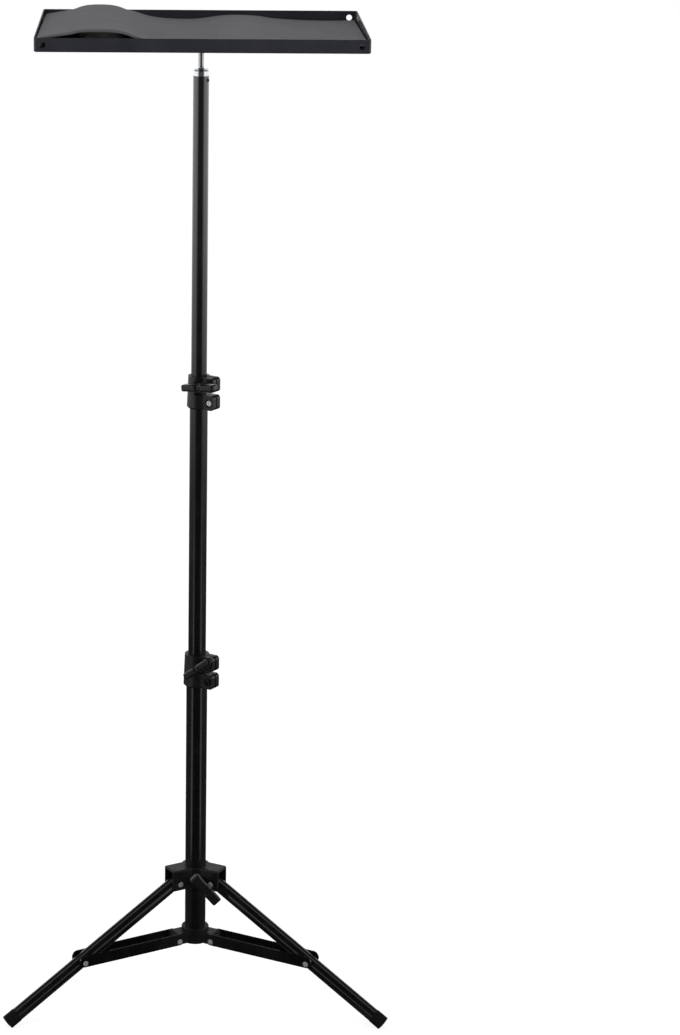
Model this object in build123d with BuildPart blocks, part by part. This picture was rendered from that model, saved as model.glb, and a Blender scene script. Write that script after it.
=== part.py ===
"""Portable projector stand: a shallow tray on a three-section column with a folding tripod."""

import math
import os

from build123d import *

os.makedirs("parts", exist_ok=True)

# Clearances, all in millimetres
RUN_FIT = 0.08
SEAT_GAP = 0.05
SLIDE_GAP = 0.3
SIDE_PLAY = 0.4

# Column tubes, outside diameters, walls and lengths
LOWER_OD = 26.0
MIDDLE_OD = 21.8
TOP_OD = 19.0
LOWER_WALL = 1.2
MIDDLE_WALL = 1.0
TOP_WALL = 1.0
LOWER_LENGTH = 358.0
MIDDLE_DRAWN = 313.0
TOP_DRAWN = 361.0
TUBE_LAP = 71.0

# Tripod linkage, seen in the plane of one leg
LEG_AZIMUTHS = {"left": 210.0, "right": 330.0, "back": 90.0}
LEG_OPEN = 60.0
PIVOT_RADIUS = 28.5
STAY_LENGTH = 135.5
LEG_LENGTH = 276.0
LEG_OD = 17.0
LEG_WALL = 1.2
LEG_HEAD = 8.0
PIN_RADIUS = 2.5
RIVET_RADIUS = 3.6
RIVET_DOME = 1.8
RIVET_CROWN = 1.4
BAR_HEIGHT = 15.0
BAR_RISE = 2.5
BAR_THICKNESS = 1.6

# Rubber feet on the leg ends
FOOT_SKIN = 0.45
FOOT_LENGTH = 15.0
FOOT_END = 3.0
FOOT_FLAT = 1.2

# Hub that slides on the lower tube and carries the legs
HUB_BELOW = 7.5
HUB_ABOVE = 19.0
HUB_ROOF = 3.0
HUB_RING = 18.0
HUB_CHEEK = 3.5
HUB_NOSE = 10.0
HUB_CORNER = 2.5
HUB_EDGE = 1.5
HUB_SLOT_RADIUS = 16.6
HUB_KNOB_AZIMUTH = -75.0
HUB_KNOB_RISE = 2.0
HUB_BOSS_RADIUS = 6.5
HUB_BOSS_REACH = 26.0

# Bracket fixed at the foot of the lower tube
BRACKET_RADIUS = 17.2
BRACKET_BELOW = 6.5
BRACKET_ABOVE = 13.5
BRACKET_FLOOR = 2.5
BRACKET_EDGE = 1.2

# Split clamps on the tube tops
CLAMP_WALL = 3.6
CLAMP_TAPER = 1.5
CLAMP_CHAMFER = 2.0
CLAMP_SLOT = 4.0
LOWER_TIER = 18.6
UPPER_TIER = 18.0
EAR_AZIMUTH = -35.0
EAR_REACH = 11.5
EAR_THICKNESS = 15.0
EAR_SLIT = 2.0
EAR_CORNER = 4.0
EAR_HOLE_INSET = 6.5
EAR_KNOB_RISE = 1.5
NUT_ACROSS = 8.0
NUT_POCKET = 4.0
CLAMP_SCREW_RADIUS = 2.5
CLAMP_SCREW_HEAD = 3.4
CLAMP_SCREW_DOME = 2.6
CLAMP_SCREW_CROWN = 1.2
COUNTERBORE_RADIUS = 5.2
COUNTERBORE_DEPTH = 2.0
RECESS_SPAN = 4.0
RECESS_WIDTH = 0.9
RECESS_DEPTH = 1.5

# Wing knobs
KNOB_SPAN = 48.0
KNOB_DEPTH = 12.0
KNOB_BLADE = 8.0
HUB_KNOB_BLADE = 12.5
KNOB_BOSS_RADIUS = 5.5
KNOB_NECK = 14.5
KNOB_NOTCH = 5.0
KNOB_CORNER = 4.0
KNOB_EDGE = 2.0
LOWER_KNOB_TURN = 38.0
UPPER_KNOB_TURN = 7.5
HUB_KNOB_TURN = -50.0
KNOB_STANDOFF = 0.5
KNOB_SCREW_RADIUS = 2.5
KNOB_SCREW_BURY = 8.0

# Spigot and stud in the top tube
SPIGOT_PLUG = 20.0
SPIGOT_COLLAR = 5.6
SPIGOT_WAIST_RADIUS = 7.2
SPIGOT_WAIST = 2.4
SPIGOT_RIM = 2.0
STUD_RADIUS = 3.175
STUD_SHOWN = 18.0
STUD_ENGAGED = 13.0
SET_SCREW_AZIMUTH = -33.0
SET_SCREW_DROP = 5.0
SET_SCREW_RADIUS = 2.0
SET_SCREW_PROUD = 0.8
SET_SCREW_SOCKET = 2.0
SET_SCREW_SOCKET_DEPTH = 1.6

# Tray, its fixing flange and the loose mat in it
TRAY_WIDTH = 380.0
TRAY_DEPTH = 280.0
TRAY_LIP = 16.0
TRAY_SHEET = 1.2
TRAY_BEND = 2.2
TRAY_CORNER = 3.0
TRAY_SEAM = 0.6
TRAY_SEAM_INSET = 4.5
LIP_HOLE_RADIUS = 3.5
LIP_HOLE_INSET = 9.7
FLANGE_RADIUS = 35.0
FLANGE_PLATE = 2.5
BOSS_RADIUS = 11.0
BOSS_HEIGHT = 16.0
MAT_THICKNESS = 3.0
MAT_EDGE_GAP = 1.5
MAT_HUMP = 24.0
MAT_CREST = 9.2
MAT_TROUGH = 4.2
MAT_START = 14.5
MAT_SHOULDER = 1.5
MAT_DIP = 1.5
MAT_LANDING = 0.4
MAT_LIFT = 1.2

# Heights worked out from the linkage: the foot rims stand on the floor at zero
OPEN_SIN = math.sin(math.radians(LEG_OPEN))
OPEN_COS = math.cos(math.radians(LEG_OPEN))
FOOT_RADIUS = LEG_OD / 2 + FOOT_SKIN
LEG_ARM = STAY_LENGTH / OPEN_SIN
HUB_PIVOT_Z = LEG_LENGTH * OPEN_COS + FOOT_RADIUS * OPEN_SIN - FOOT_FLAT
BRACKET_PIVOT_Z = HUB_PIVOT_Z - LEG_ARM * OPEN_COS
BAR_GAP = 2 * (FOOT_RADIUS + SIDE_PLAY)
BRACKET_BOTTOM_Z = BRACKET_PIVOT_Z - BRACKET_BELOW
LOWER_BOTTOM_Z = BRACKET_BOTTOM_Z + BRACKET_FLOOR
LOWER_TOP_Z = LOWER_BOTTOM_Z + LOWER_LENGTH
LOWER_CLAMP_TOP_Z = LOWER_TOP_Z + CLAMP_SLOT + LOWER_TIER
UPPER_CLAMP_BOTTOM_Z = LOWER_CLAMP_TOP_Z + MIDDLE_DRAWN
MIDDLE_TOP_Z = UPPER_CLAMP_BOTTOM_Z + UPPER_TIER
MIDDLE_BOTTOM_Z = LOWER_CLAMP_TOP_Z - TUBE_LAP
UPPER_CLAMP_TOP_Z = MIDDLE_TOP_Z + CLAMP_SLOT + UPPER_TIER
TOP_TOP_Z = UPPER_CLAMP_TOP_Z + TOP_DRAWN
TOP_BOTTOM_Z = UPPER_CLAMP_TOP_Z - TUBE_LAP
SPIGOT_TOP_Z = TOP_TOP_Z + SPIGOT_COLLAR + SPIGOT_WAIST + SPIGOT_RIM
BOSS_BOTTOM_Z = SPIGOT_TOP_Z + STUD_SHOWN
TRAY_Z = BOSS_BOTTOM_Z + BOSS_HEIGHT


def direction(azimuth):
    """Unit vector in plan at an angle from +X."""
    return (math.cos(math.radians(azimuth)), math.sin(math.radians(azimuth)), 0)


def radial_plane(azimuth, radius, height):
    """Upright plane along a radius: local x points out, local y points up."""
    out = direction(azimuth)
    return Plane(origin=(radius * out[0], radius * out[1], height), x_dir=out, z_dir=(out[1], -out[0], 0))


def save(builder, name):
    """Label one finished piece and write its file."""
    builder.part.label = name
    export_step(builder.part, f"parts/{name}.step")


# The three column tubes
TUBES = {
    "lower_tube": (LOWER_OD, LOWER_WALL, LOWER_BOTTOM_Z, LOWER_TOP_Z),
    "middle_tube": (MIDDLE_OD, MIDDLE_WALL, MIDDLE_BOTTOM_Z, MIDDLE_TOP_Z),
    "top_tube": (TOP_OD, TOP_WALL, TOP_BOTTOM_Z, TOP_TOP_Z),
}
for name, (od, wall, bottom, top) in TUBES.items():
    with BuildPart() as tube:
        with BuildSketch(Plane.XY.offset(bottom)):
            Circle(od / 2)
            Circle(od / 2 - wall, mode=Mode.SUBTRACT)
        extrude(amount=top - bottom)
        if name == "top_tube":
            with BuildSketch(radial_plane(SET_SCREW_AZIMUTH - 90, 0, top - SET_SCREW_DROP)):
                Circle(SET_SCREW_RADIUS + RUN_FIT)
            extrude(amount=-od, mode=Mode.SUBTRACT)
    save(tube, name)

# Bracket: a cup round the tube with three lugs that take the stays
with BuildPart() as bracket:
    with BuildSketch(Plane.XY.offset(BRACKET_BOTTOM_Z)):
        Circle(BRACKET_RADIUS)
    extrude(amount=BRACKET_BELOW + BRACKET_ABOVE)
    fillet(bracket.edges().filter_by(GeomType.CIRCLE), radius=BRACKET_EDGE)
    for azimuth in LEG_AZIMUTHS.values():
        with BuildSketch(radial_plane(azimuth, PIVOT_RADIUS, BRACKET_PIVOT_Z)):
            with Locations((0, BAR_RISE)):
                Circle(BAR_HEIGHT / 2)
            with Locations((-PIVOT_RADIUS / 2, BAR_RISE)):
                Rectangle(PIVOT_RADIUS, BAR_HEIGHT)
        extrude(amount=BAR_GAP / 2 - SLIDE_GAP, both=True)
    with BuildSketch(Plane.XY.offset(LOWER_BOTTOM_Z)):
        Circle(LOWER_OD / 2 + SEAT_GAP)
    extrude(amount=LOWER_LENGTH, mode=Mode.SUBTRACT)
    for azimuth in LEG_AZIMUTHS.values():
        with BuildSketch(radial_plane(azimuth, PIVOT_RADIUS, BRACKET_PIVOT_Z)):
            Circle(PIN_RADIUS + SEAT_GAP)
        extrude(amount=BAR_GAP, both=True, mode=Mode.SUBTRACT)
save(bracket, "foot_bracket")

# Hub: a ring with three arms, each a roofed fork round the head of a leg
HUB_BOTTOM_Z = HUB_PIVOT_Z - HUB_BELOW
HUB_FORK = LEG_OD / 2 + SIDE_PLAY
HUB_KNOB_Z = HUB_PIVOT_Z + HUB_KNOB_RISE
with BuildPart() as hub:
    with BuildSketch(Plane.XY.offset(HUB_BOTTOM_Z)):
        Circle(HUB_RING)
        with PolarLocations(0, len(LEG_AZIMUTHS), start_angle=LEG_AZIMUTHS["back"]):
            with Locations(((PIVOT_RADIUS + HUB_NOSE) / 2, 0)):
                Rectangle(PIVOT_RADIUS + HUB_NOSE, 2 * (HUB_FORK + HUB_CHEEK))
    extrude(amount=HUB_BELOW + HUB_ABOVE)
    fillet(hub.edges().filter_by(Axis.Z).sort_by(SortBy.DISTANCE)[-6:], radius=HUB_CORNER)
    fillet(hub.faces().sort_by(Axis.Z)[-1].outer_wire().edges(), radius=HUB_EDGE)
    with BuildSketch(radial_plane(HUB_KNOB_AZIMUTH - 90, 0, HUB_KNOB_Z)):
        Circle(HUB_BOSS_RADIUS)
    extrude(amount=-HUB_BOSS_REACH)
    for azimuth in LEG_AZIMUTHS.values():
        with BuildSketch(radial_plane(azimuth, HUB_SLOT_RADIUS, HUB_BOTTOM_Z)):
            Rectangle(PIVOT_RADIUS, HUB_BELOW + HUB_ABOVE - HUB_ROOF, align=(Align.MIN, Align.MIN))
        extrude(amount=HUB_FORK, both=True, mode=Mode.SUBTRACT)
        with BuildSketch(radial_plane(azimuth, PIVOT_RADIUS, HUB_PIVOT_Z)):
            Circle(PIN_RADIUS + SEAT_GAP)
        extrude(amount=2 * HUB_FORK, both=True, mode=Mode.SUBTRACT)
    with BuildSketch(Plane.XY.offset(HUB_BOTTOM_Z)):
        Circle(LOWER_OD / 2 + SLIDE_GAP)
    extrude(amount=HUB_BELOW + HUB_ABOVE, mode=Mode.SUBTRACT)
    with BuildSketch(radial_plane(HUB_KNOB_AZIMUTH - 90, 0, HUB_KNOB_Z)):
        Circle(KNOB_SCREW_RADIUS + RUN_FIT)
    extrude(amount=-2 * HUB_BOSS_REACH, mode=Mode.SUBTRACT)
save(hub, "leg_hub")

# Legs, feet, pins and the pairs of flat stay bars, one set for each direction
for side, azimuth in LEG_AZIMUTHS.items():
    out = direction(azimuth)
    along = (out[0] * OPEN_SIN, out[1] * OPEN_SIN, -OPEN_COS)
    hub_pivot = radial_plane(azimuth, PIVOT_RADIUS, HUB_PIVOT_Z)
    stay_pivot = radial_plane(azimuth, PIVOT_RADIUS, BRACKET_PIVOT_Z)
    leg_plane = Plane(origin=hub_pivot.origin, x_dir=hub_pivot.z_dir, z_dir=along)

    with BuildPart() as leg:
        with BuildSketch(leg_plane.offset(-LEG_HEAD)):
            Circle(LEG_OD / 2)
            Circle(LEG_OD / 2 - LEG_WALL, mode=Mode.SUBTRACT)
        extrude(amount=LEG_HEAD + LEG_LENGTH - FOOT_END)
        with BuildSketch(hub_pivot):
            Circle(PIN_RADIUS + RUN_FIT)
        extrude(amount=LEG_OD, both=True, mode=Mode.SUBTRACT)
    save(leg, f"{side}_leg")

    with BuildPart() as foot:
        with BuildSketch(leg_plane.offset(LEG_LENGTH - FOOT_LENGTH)):
            Circle(FOOT_RADIUS)
        extrude(amount=FOOT_LENGTH)
        with BuildSketch(leg_plane.offset(LEG_LENGTH - FOOT_LENGTH)):
            Circle(LEG_OD / 2 + SEAT_GAP)
        extrude(amount=FOOT_LENGTH - FOOT_END, mode=Mode.SUBTRACT)
        split(bisect_by=Plane.XY, keep=Keep.TOP)
    save(foot, f"{side}_foot")

    for pivot, half, name in (
        (hub_pivot, HUB_FORK + HUB_CHEEK, f"{side}_hub_pin"),
        (stay_pivot, BAR_GAP / 2 + BAR_THICKNESS + SLIDE_GAP, f"{side}_bracket_pin"),
    ):
        with BuildPart() as pin:
            with BuildSketch(pivot):
                Circle(PIN_RADIUS)
            extrude(amount=half, both=True)
            for facing in (1, -1):
                with BuildSketch(pivot.offset(facing * half)):
                    Circle(RIVET_RADIUS)
                extrude(amount=facing * RIVET_DOME)
            rims = pin.edges().filter_by(GeomType.CIRCLE).sort_by(Axis(pivot.origin, pivot.z_dir))
            fillet([rims[0], rims[-1]], radius=RIVET_CROWN)
        save(pin, name)

    for facing, hand in ((1, "a"), (-1, "b")):
        inner = stay_pivot.offset(facing * BAR_GAP / 2)
        with BuildPart() as bar:
            with BuildSketch(inner):
                with Locations((STAY_LENGTH / 2, BAR_RISE)):
                    SlotCenterToCenter(STAY_LENGTH, BAR_HEIGHT)
                Circle(PIN_RADIUS + RUN_FIT, mode=Mode.SUBTRACT)
                with Locations((STAY_LENGTH, 0)):
                    Circle(PIN_RADIUS + SEAT_GAP, mode=Mode.SUBTRACT)
            extrude(amount=facing * BAR_THICKNESS)
        save(bar, f"{side}_stay_bar_{hand}")

        with BuildPart() as rivet:
            with BuildSketch(inner):
                with Locations((STAY_LENGTH, 0)):
                    Circle(PIN_RADIUS)
            extrude(amount=facing * BAR_THICKNESS)
            with BuildSketch(inner.offset(facing * BAR_THICKNESS)):
                with Locations((STAY_LENGTH, 0)):
                    Circle(RIVET_RADIUS)
            extrude(amount=facing * RIVET_DOME)
            rims = rivet.edges().filter_by(GeomType.CIRCLE).sort_by(Axis(inner.origin, inner.z_dir * facing))
            fillet(rims[-1], radius=RIVET_CROWN)
        save(rivet, f"{side}_stay_rivet_{hand}")

# Split clamps: the lower tier grips the outer tube, the upper tier the inner one
CLAMPS = {
    "lower_clamp": (LOWER_OD, MIDDLE_OD, LOWER_TIER, LOWER_TOP_Z),
    "upper_clamp": (MIDDLE_OD, TOP_OD, UPPER_TIER, MIDDLE_TOP_Z),
}
for name, (outer_od, inner_od, tier, seat_z) in CLAMPS.items():
    foot_radius = outer_od / 2 + CLAMP_WALL
    reach = foot_radius + EAR_REACH
    hole_radius = reach - EAR_HOLE_INSET
    ear_plane = radial_plane(EAR_AZIMUTH, 0, seat_z)
    knob_z = CLAMP_SLOT + tier / 2 + EAR_KNOB_RISE
    with BuildPart() as clamp:
        with BuildSketch(Plane.XZ):
            with BuildLine():
                Polyline(
                    (0, seat_z - tier),
                    (foot_radius - CLAMP_CHAMFER, seat_z - tier),
                    (foot_radius, seat_z - tier + CLAMP_CHAMFER),
                    (foot_radius - CLAMP_TAPER, seat_z + CLAMP_SLOT + tier),
                    (0, seat_z + CLAMP_SLOT + tier),
                    close=True,
                )
            make_face()
        revolve(axis=Axis.Z)
        for start in (-tier, CLAMP_SLOT):
            with BuildSketch(ear_plane):
                with Locations((0, start)):
                    Rectangle(reach, tier, align=(Align.MIN, Align.MIN))
            extrude(amount=EAR_THICKNESS / 2, both=True)
        tips = clamp.edges().filter_by(lambda e: abs(Vector(e.center()).dot(ear_plane.x_dir) - reach) < 0.01)
        fillet(tips.filter_by(Axis((0, 0, 0), ear_plane.z_dir)), radius=EAR_CORNER)
        with BuildSketch(ear_plane):
            with Locations((EAR_SLIT, 0)):
                Rectangle(2 * reach, CLAMP_SLOT, align=(Align.MIN, Align.MIN))
        extrude(amount=reach, both=True, mode=Mode.SUBTRACT)
        with BuildSketch(ear_plane):
            with Locations((0, -tier)):
                Rectangle(2 * reach, 2 * tier + CLAMP_SLOT, align=(Align.MIN, Align.MIN))
        extrude(amount=EAR_SLIT / 2, both=True, mode=Mode.SUBTRACT)
        with BuildSketch(Plane.XY.offset(seat_z - tier)):
            Circle(outer_od / 2 + SEAT_GAP)
        extrude(amount=tier, mode=Mode.SUBTRACT)
        with BuildSketch(Plane.XY.offset(seat_z)):
            Circle(inner_od / 2 + SLIDE_GAP)
        extrude(amount=CLAMP_SLOT + tier, mode=Mode.SUBTRACT)
        with BuildSketch(ear_plane):
            with Locations((hole_radius, -tier / 2)):
                Circle(CLAMP_SCREW_RADIUS + SEAT_GAP)
            with Locations((hole_radius, knob_z)):
                Circle(KNOB_SCREW_RADIUS + RUN_FIT)
        extrude(amount=EAR_THICKNESS, both=True, mode=Mode.SUBTRACT)
        with BuildSketch(ear_plane.offset(EAR_THICKNESS / 2)):
            with Locations((hole_radius, -tier / 2)):
                Circle(COUNTERBORE_RADIUS)
        extrude(amount=-COUNTERBORE_DEPTH, mode=Mode.SUBTRACT)
        with BuildSketch(ear_plane.offset(-EAR_THICKNESS / 2)):
            with Locations((hole_radius, -tier / 2), (hole_radius, knob_z)):
                RegularPolygon(NUT_ACROSS / 2 + SEAT_GAP, side_count=6, major_radius=False)
        extrude(amount=NUT_POCKET, mode=Mode.SUBTRACT)
    save(clamp, name)

    screw_plane = Plane(
        origin=ear_plane.from_local_coords(Vector(hole_radius, -tier / 2, 0)),
        x_dir=ear_plane.x_dir,
        z_dir=ear_plane.z_dir,
    )
    head_seat = EAR_THICKNESS / 2 - COUNTERBORE_DEPTH
    with BuildPart() as screw:
        with BuildSketch(screw_plane.offset(head_seat)):
            Circle(CLAMP_SCREW_HEAD)
        extrude(amount=CLAMP_SCREW_DOME)
        crown = screw.faces().sort_by(Axis(screw_plane.origin, screw_plane.z_dir))[-1]
        fillet(crown.edges(), radius=CLAMP_SCREW_CROWN)
        with BuildSketch(screw_plane.offset(head_seat + CLAMP_SCREW_DOME)):
            Rectangle(RECESS_SPAN, RECESS_WIDTH)
            Rectangle(RECESS_WIDTH, RECESS_SPAN)
        extrude(amount=-RECESS_DEPTH, mode=Mode.SUBTRACT)
        with BuildSketch(screw_plane.offset(head_seat)):
            Circle(CLAMP_SCREW_RADIUS)
        extrude(amount=-head_seat - EAR_THICKNESS / 2)
    save(screw, f"{name}_screw")

# Wing knobs: each is made lying at the origin, then stood on its seat face and turned
KNOB_SEATS = {
    "lower_knob": (LOWER_OD, LOWER_TIER, LOWER_TOP_Z, LOWER_KNOB_TURN),
    "upper_knob": (MIDDLE_OD, UPPER_TIER, MIDDLE_TOP_Z, UPPER_KNOB_TURN),
}
knob_places = {}
for name, (outer_od, tier, seat_z, turn) in KNOB_SEATS.items():
    ear_plane = radial_plane(EAR_AZIMUTH, 0, seat_z)
    hole_radius = outer_od / 2 + CLAMP_WALL + EAR_REACH - EAR_HOLE_INSET
    knob_z = CLAMP_SLOT + tier / 2 + EAR_KNOB_RISE
    seat = ear_plane.from_local_coords(Vector(hole_radius, knob_z, EAR_THICKNESS / 2))
    seat_plane = Plane(origin=seat, x_dir=ear_plane.x_dir, z_dir=ear_plane.z_dir)
    knob_places[name] = (seat_plane, turn, KNOB_BLADE, EAR_THICKNESS)
hub_out = direction(HUB_KNOB_AZIMUTH)
hub_seat = (HUB_BOSS_REACH * hub_out[0], HUB_BOSS_REACH * hub_out[1], HUB_KNOB_Z)
hub_knob_plane = Plane(origin=hub_seat, x_dir=(-hub_out[1], hub_out[0], 0), z_dir=hub_out)
hub_screw_in = HUB_BOSS_REACH - LOWER_OD / 2 - SLIDE_GAP
knob_places["hub_knob"] = (hub_knob_plane, HUB_KNOB_TURN, HUB_KNOB_BLADE, hub_screw_in)
for name, (seat_plane, turn, blade, screw_in) in knob_places.items():
    tilt = math.radians(turn)
    span_dir = seat_plane.x_dir * math.cos(tilt) + seat_plane.y_dir * math.sin(tilt)
    turned = Plane(origin=seat_plane.origin, x_dir=span_dir, z_dir=seat_plane.z_dir)
    with BuildPart() as loose_knob:
        with BuildSketch(Plane.XZ):
            with Locations((0, KNOB_NECK + KNOB_DEPTH / 2)):
                RectangleRounded(KNOB_SPAN, KNOB_DEPTH, KNOB_CORNER)
            with Locations((0, KNOB_NECK + KNOB_DEPTH + KNOB_NOTCH / 2)):
                Circle(KNOB_NOTCH, mode=Mode.SUBTRACT)
        extrude(amount=blade / 2, both=True)
        fillet(loose_knob.faces().filter_by(Axis.Y).edges(), radius=KNOB_EDGE)
        with BuildSketch(Plane.XY.offset(KNOB_STANDOFF)):
            Circle(KNOB_BOSS_RADIUS)
        extrude(amount=KNOB_NECK + KNOB_DEPTH / 2)
        with BuildSketch(Plane.XY):
            Circle(KNOB_SCREW_RADIUS + SEAT_GAP)
        extrude(amount=KNOB_SCREW_BURY, mode=Mode.SUBTRACT)
    with BuildPart() as knob:
        with Locations(turned.location):
            add(loose_knob.part)
    save(knob, name)
    with BuildPart() as screw:
        with BuildSketch(turned.offset(KNOB_SCREW_BURY)):
            Circle(KNOB_SCREW_RADIUS)
        extrude(amount=-KNOB_SCREW_BURY - screw_in)
    save(screw, f"{name}_screw")

# Spigot: a turned plug with a waist, and the stud the tray threads on
set_screw_plane = radial_plane(SET_SCREW_AZIMUTH - 90, 0, TOP_TOP_Z - SET_SCREW_DROP)
with BuildPart() as spigot:
    with BuildSketch(Plane.XZ):
        with BuildLine():
            Polyline(
                (0, TOP_TOP_Z - SPIGOT_PLUG),
                (TOP_OD / 2 - TOP_WALL - SEAT_GAP, TOP_TOP_Z - SPIGOT_PLUG),
                (TOP_OD / 2 - TOP_WALL - SEAT_GAP, TOP_TOP_Z),
                (TOP_OD / 2, TOP_TOP_Z),
                (TOP_OD / 2, TOP_TOP_Z + SPIGOT_COLLAR),
                (SPIGOT_WAIST_RADIUS, TOP_TOP_Z + SPIGOT_COLLAR + SPIGOT_WAIST / 2),
                (TOP_OD / 2, TOP_TOP_Z + SPIGOT_COLLAR + SPIGOT_WAIST),
                (TOP_OD / 2, SPIGOT_TOP_Z),
                (STUD_RADIUS, SPIGOT_TOP_Z),
                (STUD_RADIUS, BOSS_BOTTOM_Z + STUD_ENGAGED),
                (0, BOSS_BOTTOM_Z + STUD_ENGAGED),
                close=True,
            )
        make_face()
    revolve(axis=Axis.Z)
    with BuildSketch(set_screw_plane):
        Circle(SET_SCREW_RADIUS + SEAT_GAP)
    extrude(amount=-TOP_OD, mode=Mode.SUBTRACT)
save(spigot, "spigot")

with BuildPart() as set_screw:
    with BuildSketch(set_screw_plane):
        Circle(SET_SCREW_RADIUS)
    extrude(amount=-TOP_OD / 2 - SET_SCREW_PROUD)
    with BuildSketch(set_screw_plane.offset(-TOP_OD / 2 - SET_SCREW_PROUD)):
        RegularPolygon(SET_SCREW_SOCKET / 2, side_count=6, major_radius=False)
    extrude(amount=SET_SCREW_SOCKET_DEPTH, mode=Mode.SUBTRACT)
save(set_screw, "spigot_screw")

# Tray flange: a round plate with a threaded boss on its underside
with BuildPart() as flange:
    with BuildSketch(Plane.XY.offset(TRAY_Z)):
        Circle(FLANGE_RADIUS)
    extrude(amount=-FLANGE_PLATE)
    with BuildSketch(Plane.XY.offset(TRAY_Z)):
        Circle(BOSS_RADIUS)
    extrude(amount=-BOSS_HEIGHT)
    with BuildSketch(Plane.XY.offset(BOSS_BOTTOM_Z)):
        Circle(STUD_RADIUS + RUN_FIT)
    extrude(amount=STUD_ENGAGED + SLIDE_GAP, mode=Mode.SUBTRACT)
save(flange, "tray_flange")

# Tray: a folded sheet pan with a hole near each end of the long lips
with BuildPart() as tray:
    with BuildSketch(Plane.XY.offset(TRAY_Z)):
        RectangleRounded(TRAY_WIDTH, TRAY_DEPTH, TRAY_CORNER)
    extrude(amount=TRAY_LIP)
    fillet(tray.faces().sort_by(Axis.Z)[0].edges(), radius=TRAY_BEND)
    offset(amount=-TRAY_SHEET, openings=tray.faces().sort_by(Axis.Z)[-1])
    with BuildSketch(Plane.XZ):
        with Locations((0, TRAY_Z + TRAY_LIP / 2)):
            with GridLocations(TRAY_WIDTH - 2 * LIP_HOLE_INSET, 1, 2, 1):
                Circle(LIP_HOLE_RADIUS)
    extrude(amount=TRAY_DEPTH, both=True, mode=Mode.SUBTRACT)
    with BuildSketch(Plane.YZ):
        with Locations((0, TRAY_Z + TRAY_SHEET + TRAY_BEND)):
            with GridLocations(TRAY_DEPTH - 2 * TRAY_SEAM_INSET, 1, 2, 1):
                Rectangle(TRAY_SEAM, TRAY_LIP, align=(Align.CENTER, Align.MIN))
    extrude(amount=TRAY_WIDTH, both=True, mode=Mode.SUBTRACT)
save(tray, "tray_pan")

# Mat: a loose sheet, a little too long for the tray, that buckles into waves
MAT_HALF = TRAY_WIDTH / 2 - TRAY_SHEET - MAT_EDGE_GAP
MAT_FLOOR_Z = TRAY_Z + TRAY_SHEET
MAT_REST = MAT_THICKNESS / 2 + SLIDE_GAP
MAT_WAVE = (
    (-1.0, MAT_START),
    (-0.78, (MAT_START + MAT_HUMP) / 2 + MAT_SHOULDER),
    (-0.6, MAT_HUMP),
    (-0.36, (MAT_HUMP + MAT_TROUGH) / 2),
    (-0.12, MAT_TROUGH),
    (0.2, MAT_CREST),
    (0.52, MAT_REST + MAT_DIP),
    (0.78, MAT_REST + MAT_LANDING),
    (1.0, MAT_REST + MAT_LIFT),
)
with BuildPart() as mat:
    with BuildSketch(Plane.XZ):
        with BuildLine():
            lower = Spline(*[(MAT_HALF * x, MAT_FLOOR_Z + z - MAT_THICKNESS / 2) for x, z in MAT_WAVE])
            upper = Spline(*[(MAT_HALF * x, MAT_FLOOR_Z + z + MAT_THICKNESS / 2) for x, z in MAT_WAVE])
            Line(lower @ 0, upper @ 0)
            Line(lower @ 1, upper @ 1)
        make_face()
    extrude(amount=TRAY_DEPTH / 2 - TRAY_SHEET - MAT_EDGE_GAP, both=True)
save(mat, "tray_mat")
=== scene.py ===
# %% [markdown]
# # A portable tray stand
# The stand is a shallow sheet-metal tray on a column of three telescoping tubes, and the column
# stands on a folding tripod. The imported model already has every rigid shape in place, so this
# lesson keeps it as a fixed frame and adds what a solid model leaves out: paint, plating, rubber,
# set rivets, captive nuts, a screw thread and the loose grey mat.

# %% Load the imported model
import math

import bpy
from mathutils import Matrix, Vector


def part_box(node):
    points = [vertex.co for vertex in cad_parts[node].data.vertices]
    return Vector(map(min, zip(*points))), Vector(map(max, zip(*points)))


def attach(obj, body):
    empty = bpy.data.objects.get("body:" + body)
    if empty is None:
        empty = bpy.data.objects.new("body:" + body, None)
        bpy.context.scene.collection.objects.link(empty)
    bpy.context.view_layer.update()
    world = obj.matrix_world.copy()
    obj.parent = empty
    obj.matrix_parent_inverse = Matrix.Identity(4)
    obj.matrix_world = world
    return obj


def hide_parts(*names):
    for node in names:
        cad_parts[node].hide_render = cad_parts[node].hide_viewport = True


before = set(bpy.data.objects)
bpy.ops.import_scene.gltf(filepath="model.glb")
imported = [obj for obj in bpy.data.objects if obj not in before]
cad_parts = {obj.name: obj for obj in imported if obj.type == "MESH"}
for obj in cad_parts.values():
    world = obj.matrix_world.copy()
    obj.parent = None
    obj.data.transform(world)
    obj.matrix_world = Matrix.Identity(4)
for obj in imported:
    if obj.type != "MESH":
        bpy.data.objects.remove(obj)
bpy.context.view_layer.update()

MM = 0.001

# %% [markdown]
# ## Camera
# The picture was taken from the front, a little above the tray and from a long way off, so the
# tray shows its floor and the column keeps nearly the same width from top to bottom. A camera can
# be placed by eye or worked out from points that are easy to find, such as the tray corners, the
# rivets and the feet. Here it was worked out, because then the whole frame lines up at once. The
# stand is left of the middle of the picture, which the horizontal shift takes care of.

# %% Place the camera
PICTURE_WIDTH = 680
PICTURE_HEIGHT = 1035
FOCAL_PIXELS = 3067.0
COLUMN_PIXEL_X = 198.0
CAMERA_PLACE = Vector((-0.035, -3.6012, 1.650))
CAMERA_PITCH = math.radians(16.0)
CAMERA_YAW = math.radians(-0.557)
CAMERA_ROLL = math.radians(0.408)


def add_object(name, data):
    """Put some data into the scene as an object at the origin."""
    made = bpy.data.objects.new(name, data)
    bpy.context.scene.collection.objects.link(made)
    return made


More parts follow.
